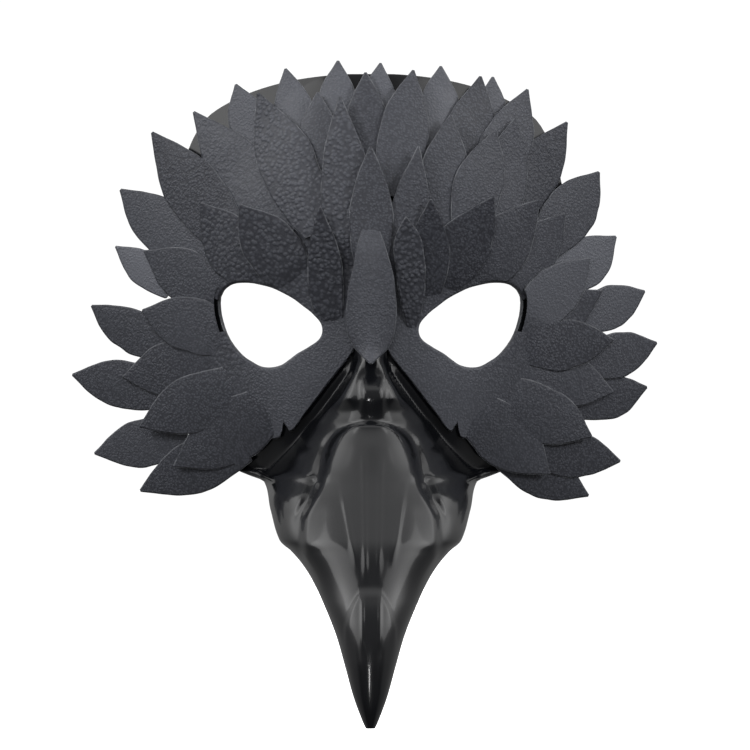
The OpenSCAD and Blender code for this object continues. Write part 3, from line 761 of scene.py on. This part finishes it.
def skin_object():
    """The surface that the leaves are laid on, as a plain grid; it isn't part of the mask."""
    if "skin" not in SHARED:
        zs, xs = np.arange(-84, 118, 1.4), np.arange(-132, 132.1, 1.4)
        z, x = np.meshgrid(zs, xs, indexing="ij")
        points = place(x, z, 0.0)
        mesh = bpy.data.meshes.new("leather_ground")
        mesh.from_pydata(points.reshape(-1, 3).tolist(), [], grid_quads(*x.shape).tolist())
        SHARED["skin"] = new_object("leather_ground", mesh)
        SHARED["leaf"] = leaf_tree()
    return SHARED["skin"]


def lay_feathers(settings, *prefixes):
    """Cuts every feather whose CAD node's name starts with one of the prefixes."""
    ground = skin_object()
    names = sorted(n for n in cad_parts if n.startswith(prefixes))
    if not names:
        raise RuntimeError("the frame has no feathers named " + ", ".join(prefixes))
    for node in names:
        rng = random.Random(settings.seed + sum(ord(c) * (i + 3) for i, c in enumerate(node)))
        grain, tone = HIDE.get(node, (rng.uniform(0.0, 0.45), rng.uniform(0.08, 0.3)))
        skived = node.startswith(SKIVED)
        sunk = (SUNK_BRIDGE if node == "bridge_feather" else
                SUNK_CREST if node in TUCKED and node.startswith("crest") else
                SUNK_SKIVED * skived)
        parts = []
        for root, tip, width, root_lift, tip_lift in leaves_of(node):
            leaf = new_object(node + "_leaf", bpy.data.meshes.new(node))
            root = root + (root - tip) / np.linalg.norm(root - tip) * TUCKED.get(node, 0)
            through_nodes(leaf, SHARED["leaf"], {
                "Skin": ground, "Root": (float(root[0]), 0.0, float(root[1])),
                "Tip": (float(tip[0]), 0.0, float(tip[1])), "Width": width,
                "Root Lift": root_lift, "Tip Lift": tip_lift,
                "Skived": float(skived), "Sunk Root": float(sunk),
                "Lens": float(node in LENSES),
                "Thickness": settings.leather_thickness,
                "Crown": settings.leaf_crown * rng.uniform(0.7, 1.2),
                "Tip Curl": settings.tip_curl * rng.uniform(0.3, 1.2),
                "Bow": rng.uniform(-0.0007, 0.0007), "Grain": grain, "Tone": tone,
                "Seed": rng.randint(1, 900), "Leather": finish("leather"),
                "Cut Edge": finish("cut"), "Flesh Side": finish("suede")})
            if node.startswith(("brow", "temple", "cheek_front")):
                trimmed_at_eye(leaf.data, 1 if root[0] > 0 else -1,
                               0.5 if node.startswith("brow") else 1.7)
            parts.append(leaf)
        if len(parts) > 1:
            with edited(parts[0].data) as work:
                for part in parts[1:]:
                    work.from_mesh(part.data)
                    bpy.data.objects.remove(part)
        finish_piece(parts[0], "mask", "leather", node)


def trimmed_at_eye(mesh, side, gap):
    """Cuts a leaf back to the eye hole's outline plus a gap in millimetres."""
    points = np.empty(len(mesh.vertices) * 3, np.float32)
    mesh.vertices.foreach_get("co", points)
    points = points.reshape(-1, 3).astype(float)
    x, z = points[:, 0] * 1000 / KX, points[:, 2] * 1000 / KZ
    dx, dz, radius, hole = about_eye(x, z, side)
    grow = np.maximum((hole + gap) / radius, 1)
    new_x, new_z = side * (EYE_X + dx * grow), EYE_Z + dz * grow
    points[:, 1] += (skin_form(x, z) - skin_form(new_x, new_z)) * KY / 1000
    points[:, 0], points[:, 2] = new_x * KX / 1000, new_z * KZ / 1000
    mesh.vertices.foreach_set("co", points.astype(np.float32).ravel())
    mesh.update()


def eye_sheet(side):
    """Leather laid round one eye hole, with its edge turned into the hole."""
    ends = (SHEET_END, SHEET_START) if side > 0 else (SHEET_START, SHEET_END)
    angles = np.linspace(*ends, SHEET_COLUMNS)
    a = np.radians(angles)[:, None]
    inner = np.stack(eye_edge(angles, 0.5), -1)[:, None, :]
    reach = curve(angles, SURROUND_RADIUS)
    for at, deep, wide in SLITS:
        reach = reach - deep * np.exp(-((angles - at) / wide) ** 2)
    outer = np.stack([reach * np.cos(a[:, 0]), reach * np.sin(a[:, 0])], -1)[:, None, :]
    j = (np.linspace(0, 1, SHEET_ROWS) ** 1.15)[None, :, None]
    flat = inner + (outer - inner) * j
    x, z = side * (EYE_X + flat[..., 0]), EYE_Z + flat[..., 1]
    thick = bpy.context.scene.raven_mask.leather_thickness
    front, back = place(x, z, GLUE + thick), place(x, z, GLUE)
    # the turned edge: the sheet bends back over the rim of the hole
    out = np.stack([side * np.cos(a[:, 0]), np.zeros(len(angles)), np.sin(a[:, 0])], -1)
    rows_front, rows_back = [], []
    for bend in (1.0, 0.72, 0.42, 0.2):
        turn = bend * math.pi / 2
        reach_in, drop = TURN_IN * math.sin(turn), TURN_DROP * (1 - math.cos(turn))
        rows_front.append(front[:, 0] - out * reach_in + np.array([0, drop, 0]))
        rows_back.append(back[:, 0] - out * max(reach_in - 0.0005, 0)
                         + np.array([0, drop * 0.9, 0]))
    front = np.concatenate([np.stack(rows_front, 1), front], 1)
    back = np.concatenate([np.stack(rows_back, 1), back], 1)
    inset = np.minimum(np.linalg.norm(front - front[:, -1:], axis=-1),
                       0.0006 + np.linalg.norm(front - front[:, :1], axis=-1))
    return front, back, inset


# ---- hardware ----
def rivet_line():
    """Place and lean of the strap's fixing, and the webbing's radius behind the head."""
    low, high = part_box("strap_rivet_left")
    height = (low.z + high.z) / 2
    z = np.float64(height * 1000 / KZ)
    before, at, after = (float(skin_form(np.float64(x), z))
                         for x in (RIVET_X - 0.5, RIVET_X, RIVET_X + 0.5))
    spot = Vector((RIVET_X * KX / 1000, -at * KY / 1000, height))
    return spot, math.atan(-(after - before) * KY / KX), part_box("head_strap")[1].x - BAND / 2


def webbing_path():
    """The strap's middle line from one rivet's tab round the head to the other."""
    spot, lean, radius = rivet_line()
    inward = WALL + BAND_GAP + BAND / 2
    s, c = math.sin(lean), math.cos(lean)
    way = np.array([c, s])
    anchor = np.array([spot.x - inward * s, spot.y + inward * c])
    straight = (radius - anchor[0] - CORNER * (1 - s)) / c
    centre = anchor + straight * way + CORNER * np.array([-s, c])
    start = anchor - TAB * way
    half = [start] + [start + (straight + TAB) * way * k / 10 for k in range(1, 10)]
    for k in range(13):
        a = lean - math.pi / 2 + (math.pi / 2 - lean) * k / 12
        half.append(centre + CORNER * np.array([math.cos(a), math.sin(a)]))
    for k in range(1, 61):
        a = math.pi / 2 * k / 60
        half.append(np.array([0, centre[1]]) + radius * np.array([math.cos(a), math.sin(a)]))
    half = np.array(half)
    return np.concatenate([half, (half[:-1] * [-1, 1])[::-1]]), spot.z


def rib_tree():
    """Cross ribs of the webbing, one at each pitch along its middle line."""
    tree, given = new_tree("Webbing_ribs", (
        ("Line", "Geometry", None), ("Pitch", "Float", 0.0015), ("Rib Width", "Float", 0.0009),
        ("Rib Depth", "Float", 0.0018), ("Rib Length", "Float", 0.0192),
        ("Yarn", "Material", None)))
    line = add(tree, "GeometryNodeMeshToCurve", {"Mesh": given["Line"]})
    spaced = add(tree, "GeometryNodeCurveToPoints",
                 {"Curve": line, "Length": given["Pitch"]}, mode="LENGTH")
    turn = add(tree, "FunctionNodeAlignRotationToVector",
               {"Vector": spaced.outputs["Tangent"]}, axis="X", pivot_axis="Z")
    size = add(tree, "ShaderNodeCombineXYZ",
               (given["Rib Width"], given["Rib Depth"], given["Rib Length"]))
    bar = add(tree, "GeometryNodeMeshCube", {"Size": size})
    ribs = add(tree, "GeometryNodeInstanceOnPoints",
               {"Points": spaced.outputs["Points"], "Instance": bar, "Rotation": turn})
    ribs = add(tree, "GeometryNodeRealizeInstances", {"Geometry": ribs})
    ribs = add(tree, "GeometryNodeSetMaterial", {"Geometry": ribs, "Material": given["Yarn"]})
    add(tree, "NodeGroupOutput", {"Mesh": ribs})
    return tree


def webbing_mesh():
    """The webbing itself: a flat band with rounded selvedges along the line."""
    line, height = webbing_path()
    low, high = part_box("head_strap")
    tall = high.z - low.z
    tangent = np.gradient(line, axis=0)
    tangent /= np.linalg.norm(tangent, axis=1)[:, None]
    normal = np.stack([tangent[:, 1], -tangent[:, 0]], -1)
    length = np.concatenate([[0], np.cumsum(np.linalg.norm(np.diff(line, axis=0), axis=1))])
    section = []
    for k in range(9):
        a = math.pi * k / 8
        section.append((0.00075 * math.cos(a), tall / 2 - SELVEDGE + 0.0007 * math.sin(a)))
    section += [(u, -v) for u, v in reversed(section)]
    points, loops = [], len(section)
    for p, n in zip(line, normal):
        for u, v in section:
            points.append((p[0] + n[0] * u, p[1] + n[1] * u, height + v))
    faces = []
    for i in range(len(line) - 1):
        for k in range(loops):
            q = (k + 1) % loops
            faces.append((i * loops + k, i * loops + q, (i + 1) * loops + q, (i + 1) * loops + k))
    faces.append(tuple(range(loops)))
    faces.append(tuple((len(line) - 1) * loops + k for k in reversed(range(loops))))
    mesh = bpy.data.meshes.new("head_strap_webbing")
    mesh.from_pydata(points, [], faces)
    layer = mesh.uv_layers.new(name="UVMap")
    for loop in mesh.loops:
        i, k = divmod(loop.vertex_index, loops)
        layer.data[loop.index].uv = (length[i], section[k][1])
    turned_out(mesh)
    smooth(mesh)
    return mesh, line, height


def revolved(profile, matrix, steps=40):
    """Closed solid of revolution about local Z, placed by the matrix."""
    points, faces, n = [], [], len(profile)
    for k in range(steps):
        a = 2 * math.pi * k / steps
        points += [matrix @ Vector((r * math.cos(a), r * math.sin(a), z)) for r, z in profile]
    for k in range(steps):
        q = (k + 1) % steps
        faces += [(k * n + i, q * n + i, q * n + i + 1, k * n + i + 1) for i in range(n - 1)]
    return points, faces


class RavenMaskSettings(bpy.types.PropertyGroup):
    shell_colour: StringProperty(
        name="Shell", description="Colour of the gloss plastic", default="#0d0e11")
    leather_colour: StringProperty(
        name="Leather", description="Colour of the leather's pebbles", default="#4a4c53")
    leather_crease: StringProperty(
        name="Creases", description="Colour between the pebbles", default="#303137")
    leather_faded_and_lit: StringProperty(
        name="Faded leather", description="Colour where the dye has taken less",
        default="#6b6d74")
    edge_colour: StringProperty(
        name="Cut edge", description="Colour of the cut fibres", default="#74767b")
    leather_thickness: FloatProperty(
        name="Leather thickness", description="Thickness of the hide", default=0.001,
        min=0.0005, max=0.002, unit="LENGTH")
    leaf_crown: FloatProperty(
        name="Leaf crown", description="How far a leaf's middle stands proud of its edges",
        default=0.0006, min=0, max=0.003, unit="LENGTH")
    tip_curl: FloatProperty(
        name="Tip curl", description="How far a leaf's tip lifts", default=0.0017, min=0,
        max=0.006, unit="LENGTH")
    rib_pitch: FloatProperty(
        name="Rib pitch", description="Spacing of the webbing's cross ribs", default=0.0016,
        min=0.0005, max=0.005, unit="LENGTH")
    seed: IntProperty(
        name="Seed", description="Varies how the leaves were cut", default=7, min=1)


class RAVEN_OT_shell(bpy.types.Operator):
    """Forms the plastic shell of face and beak"""
    bl_idname = "raven_mask.shell"
    bl_label = "Moulded Shell"

    def execute(self, context):
        shell = new_object("mask_shell_formed", shell_mesh())
        shell.data.materials.append(finish("gloss"))
        shell.data.materials.append(finish("trim"))
        finish_piece(shell, "mask", "shell", "mask_shell")
        return {"FINISHED"}


class RAVEN_OT_eye_leather(bpy.types.Operator):
    """Lays the leather round both eye holes"""
    bl_idname = "raven_mask.eye_leather"
    bl_label = "Eye Leather"

    def execute(self, context):
        for side, node in ((1, "eye_leather_left"), (-1, "eye_leather_right")):
            front, back, inset = eye_sheet(side)
            mesh = grid_sheet(node + "_sheet", front, back)
            paint(mesh, "rim", np.concatenate([inset.ravel(), inset.ravel()]))
            # smooth grain and a lighter colour under the eye; coarse grain above it and far out,
            # where the colour is darker: painted shade above the eye
            high = step(-6, 12, np.array([v.co.z for v in mesh.vertices]) * 1000)
            far = step(34, 62, np.array([abs(v.co.x) for v in mesh.vertices]) * 1000)
            coarse = 0.35 if side > 0 else 0.8
            paint(mesh, "grain", coarse * np.maximum(high, far))
            # painted shade: the tone drops above the eye and far out, darkening the leather there
            paint(mesh, "tone", 0.16 + 0.24 * (1 - high) * (1 - far))
            sheet = new_object(node + "_sheet", mesh)
            for name in ("leather", "cut", "suede"):
                mesh.materials.append(finish(name))
            finish_piece(sheet, "mask", "leather", node)
        return {"FINISHED"}


class RAVEN_OT_crest(bpy.types.Operator):
    """Cuts the crest feathers in their three rows"""
    bl_idname = "raven_mask.crest"
    bl_label = "Crest Feathers"

    def execute(self, context):
        lay_feathers(context.scene.raven_mask, "crest_")
        return {"FINISHED"}


class RAVEN_OT_brow(bpy.types.Operator):
    """Cuts the brow feathers and the one that points down between the eyes"""
    bl_idname = "raven_mask.brow"
    bl_label = "Brow Feathers"

    def execute(self, context):
        lay_feathers(context.scene.raven_mask, "brow_feather", "bridge_feather")
        return {"FINISHED"}


class RAVEN_OT_cheeks(bpy.types.Operator):
    """Cuts the temple and cheek feathers"""
    bl_idname = "raven_mask.cheeks"
    bl_label = "Temple and Cheek Feathers"

    def execute(self, context):
        lay_feathers(context.scene.raven_mask, "temple_feather", "cheek_")
        return {"FINISHED"}


class RAVEN_OT_pads(bpy.types.Operator):
    """Rounds the foam pads inside the shell"""
    bl_idname = "raven_mask.pads"
    bl_label = "Foam Pads"

    def execute(self, context):
        for node in ("forehead_pad", "nose_pad"):
            pad = new_object(node + "_foam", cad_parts[node].data.copy())
            turned_out(pad.data)
            remesh = pad.modifiers.new("Skin", "REMESH")
            remesh.mode = "VOXEL"
            remesh.voxel_size = 0.0009
            soft = pad.modifiers.new("Die-cut corners", "SMOOTH")
            soft.factor = 0.7
            soft.iterations = 9
            baked(pad)
            smooth(pad.data)
            pad.data.materials.clear()
            pad.data.materials.append(finish("foam"))
            finish_piece(pad, "mask", "foam", node)
        return {"FINISHED"}


class RAVEN_OT_strap(bpy.types.Operator):
    """Weaves the elastic webbing with its cross ribs"""
    bl_idname = "raven_mask.strap"
    bl_label = "Head Strap"

    def execute(self, context):
        mesh, line, height = webbing_mesh()
        band = new_object("head_strap_webbing", mesh)
        mesh.materials.append(finish("webbing"))
        finish_piece(band, "mask", "webbing", "head_strap")
        guide = bpy.data.meshes.new("head_strap_ribs")
        guide.from_pydata([(p[0], p[1], height) for p in line],
                          [(i, i + 1) for i in range(len(line) - 1)], [])
        ribs = new_object("head_strap_ribs", guide)
        low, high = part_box("head_strap")
        through_nodes(ribs, rib_tree(), {
            "Pitch": context.scene.raven_mask.rib_pitch, "Rib Width": 0.0009,
            "Rib Depth": 0.0017, "Rib Length": high.z - low.z - 2 * SELVEDGE,
            "Yarn": finish("webbing")})
        finish_piece(ribs, "mask", "webbing", "head_strap")
        return {"FINISHED"}


class RAVEN_OT_slider(bpy.types.Operator):
    """Rounds the moulded three-bar slider"""
    bl_idname = "raven_mask.slider"
    bl_label = "Strap Slider"

    def execute(self, context):
        slider = new_object("strap_slider_moulded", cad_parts["strap_slider"].data.copy())
        with edited(slider.data) as work:
            bmesh.ops.remove_doubles(work, verts=work.verts, dist=WELD)
            bmesh.ops.dissolve_limit(work, angle_limit=math.radians(1.5), verts=work.verts,
                                     edges=work.edges)
        bevel = slider.modifiers.new("Moulded radius", "BEVEL")
        bevel.width = 0.0005
        bevel.segments = 3
        bevel.limit_method = "ANGLE"
        bevel.angle_limit = math.radians(40)
        baked(slider)
        smooth(slider.data)
        slider.data.materials.clear()
        slider.data.materials.append(finish("acetal"))
        finish_piece(slider, "slider", "slider", "strap_slider")
        return {"FINISHED"}


class RAVEN_OT_rivets(bpy.types.Operator):
    """Turns the two strap rivets"""
    bl_idname = "raven_mask.rivets"
    bl_label = "Strap Rivets"

    def execute(self, context):
        spot, lean, _ = rivet_line()
        # radius and height of the cap, then of the burr behind the webbing
        dome = [(0.0, 0.00145)] + [
            (0.0045 * math.sin(a), 0.0007 + 0.00075 * math.cos(a))
            for a in np.radians(np.linspace(12, 90, 9))] + [(0.0044, 0.00055), (0.002, 0.00055)]
        through = -(WALL + BAND_GAP + BAND)
        burr = [(r, through - z) for r, z in (
            (0.002, 0.0001), (0.0044, 0.0001), (0.0045, 0.0004), (0.0042, 0.0009),
            (0.0021, 0.0011), (0.0012, 0.0007), (0.0, 0.0007))]
        for side, node in ((1, "strap_rivet_left"), (-1, "strap_rivet_right")):
            frame_at = (Matrix.Translation(Vector((side * spot.x, spot.y, spot.z)))
                        @ Matrix.Rotation(side * lean, 4, "Z")
                        @ Matrix.Rotation(math.pi / 2, 4, "X"))
            points, faces = revolved(dome + burr, frame_at)
            mesh = bpy.data.meshes.new(node + "_cap")
            mesh.from_pydata(points, [], faces)
            turned_out(mesh)
            smooth(mesh)
            rivet = new_object(node + "_cap", mesh)
            mesh.materials.append(finish("rivet"))
            finish_piece(rivet, "mask", "rivet", node)
        return {"FINISHED"}


# name, place, aim, size in metres and watts; a fill lights the leather and isn't mirrored
LAMPS = (
    ("left_softbox", (-0.95, -0.30, 0.85), (0, 0, 0), (0.9, 1.2), 3.8),
    ("right_softbox", (0.95, -0.30, 0.85), (0, 0, 0), (0.9, 1.2), 3.2),
    ("front_strip", (-0.12, -2.0, 0.5), (0, 0, -0.13), (0.03, 0.3), 1.6),
    ("front_fill", (-0.3, -2.2, 0.6), (0, 0, 0), (1.6, 1.6), 13.0),
    ("left_key_fill", (-1.5, -1.1, 1.1), (0, 0, 0), (0.4, 0.4), 15.0),
    ("right_key_fill", (1.6, -1.1, 0.8), (0, 0, 0), (0.4, 0.4), 15.0),
    ("rear_fill", (0.4, 2.2, 0.7), (0, 0, 0), (1.6, 1.6), 25.0))


class RAVEN_OT_stage(bpy.types.Operator):
    """Sets the floor, the soft lights and the camera"""
    bl_idname = "raven_mask.stage"
    bl_label = "Studio Stage"

    def execute(self, context):
        if "skin" in SHARED:
            bpy.data.objects.remove(SHARED.pop("skin"))
        floor_mesh = bpy.data.meshes.new("floor")
        n, z = 96, CAD_BOX[0].z - 0.0005
        ring = [(4 * math.cos(2 * math.pi * k / n), 4 * math.sin(2 * math.pi * k / n), z)
                for k in range(n)]
        floor_mesh.from_pydata(ring, [], [tuple(range(n))])
        floor = new_object("floor", floor_mesh)
        # Matt white paper, lit evenly enough to lose its edge
        floor_mesh.materials.append(shader("Paper_floor_white", {
            "Base Color": to_linear("#f4f4f4"), "Roughness": 0.9,
            "Emission Color": to_linear("#ffffff"), "Emission Strength": 1.0})[0])
        floor.visible_diffuse = floor.visible_glossy = False

        # a white room: dim in front, brighter behind and high at the sides
        world = bpy.data.worlds.new("Soft_white_room")
        context.scene.world = world
        world.use_nodes = True
        tree = world.node_tree
        way = add(tree, "ShaderNodeSeparateXYZ",
                  [add(tree, "ShaderNodeTexCoord").outputs["Generated"]]).outputs
        aside = add(tree, MATHS, [way[0]], operation="ABSOLUTE")
        rear, aside, above, below = (
            add(tree, RANGE, {"Value": value, "From Min": start, "From Max": end,
                              "To Min": low, "To Max": high}, interpolation_type="SMOOTHSTEP")
            for value, start, end, low, high in (
                (way[1], -0.38, 0.12, 0.2, 0.66), (aside, 0.35, 0.85, 0.0, 1.6),
                (way[2], 0.15, 0.65, 0.0, 1.0), (way[2], -0.1, 0.8, 0.25, 1.0)))
        aside = add(tree, MATHS, (aside, above, 1.0), operation="MULTIPLY_ADD")
        rear = add(tree, MATHS, (rear, below), operation="MULTIPLY")
        glow = add(tree, MATHS, (rear, aside), operation="MULTIPLY")
        seen = add(tree, "ShaderNodeLightPath").outputs["Is Camera Ray"]
        strength = add(tree, "ShaderNodeMix", {0: seen, 2: glow, 3: 1.05})
        background = tree.nodes["Background"]
        tree.links.new(strength.outputs[0], background.inputs["Strength"])
        background.inputs["Color"].default_value = to_linear("#ffffff")

        for name, spot, aim, size, power in LAMPS:
            lamp = bpy.data.lights.new(name, "AREA")
            lamp.shape = "RECTANGLE"
            lamp.size, lamp.size_y = size
            lamp.energy = power
            light = new_object(name, lamp)
            light.location = spot
            light.visible_glossy = not name.endswith("fill")
            light.rotation_euler = (Vector(aim) - Vector(spot)).to_track_quat(
                "-Z", "Y").to_euler()

        lens = bpy.data.cameras.new("camera")
        camera = new_object("camera", lens)
        # a long lens, square to the face
        lens.sensor_width = 36
        lens.lens = lens.sensor_width * STAND_OFF / FIELD
        camera.location = (0.0018, -STAND_OFF, -0.0212)
        camera.rotation_euler = (math.pi / 2, 0, 0)
        lens.clip_start, lens.clip_end = 0.1, 60
        context.scene.camera = camera
        context.scene.view_settings.view_transform = "Standard"
        context.scene.view_settings.look = "None"
        return {"FINISHED"}


STEPS = (RAVEN_OT_shell, RAVEN_OT_eye_leather, RAVEN_OT_crest, RAVEN_OT_brow, RAVEN_OT_cheeks,
         RAVEN_OT_pads, RAVEN_OT_strap, RAVEN_OT_slider, RAVEN_OT_rivets, RAVEN_OT_stage)


class RAVEN_PT_mask(bpy.types.Panel):
    bl_idname = "RAVEN_PT_mask"
    bl_label = "Raven Half Mask"
    bl_space_type = "VIEW_3D"
    bl_region_type = "UI"
    bl_category = "Raven Mask"

    def draw(self, context):
        settings = context.scene.raven_mask
        for name in RavenMaskSettings.__annotations__:
            self.layout.prop(settings, name)
        for operator in STEPS:
            self.layout.operator(operator.bl_idname)


CLASSES = (RavenMaskSettings,) + STEPS + (RAVEN_PT_mask,)


def register():
    for cls in CLASSES:
        bpy.utils.register_class(cls)
    bpy.types.Scene.raven_mask = PointerProperty(type=RavenMaskSettings)


def unregister():
    del bpy.types.Scene.raven_mask
    for cls in reversed(CLASSES):
        bpy.utils.unregister_class(cls)


def main():
    register()
    bpy.ops.raven_mask.shell()
    bpy.ops.raven_mask.eye_leather()
    bpy.ops.raven_mask.crest()
    bpy.ops.raven_mask.brow()
    bpy.ops.raven_mask.cheeks()
    bpy.ops.raven_mask.pads()
    bpy.ops.raven_mask.strap()
    bpy.ops.raven_mask.slider()
    bpy.ops.raven_mask.rivets()
    bpy.ops.raven_mask.stage()


if __name__ == "__main__":
    main()
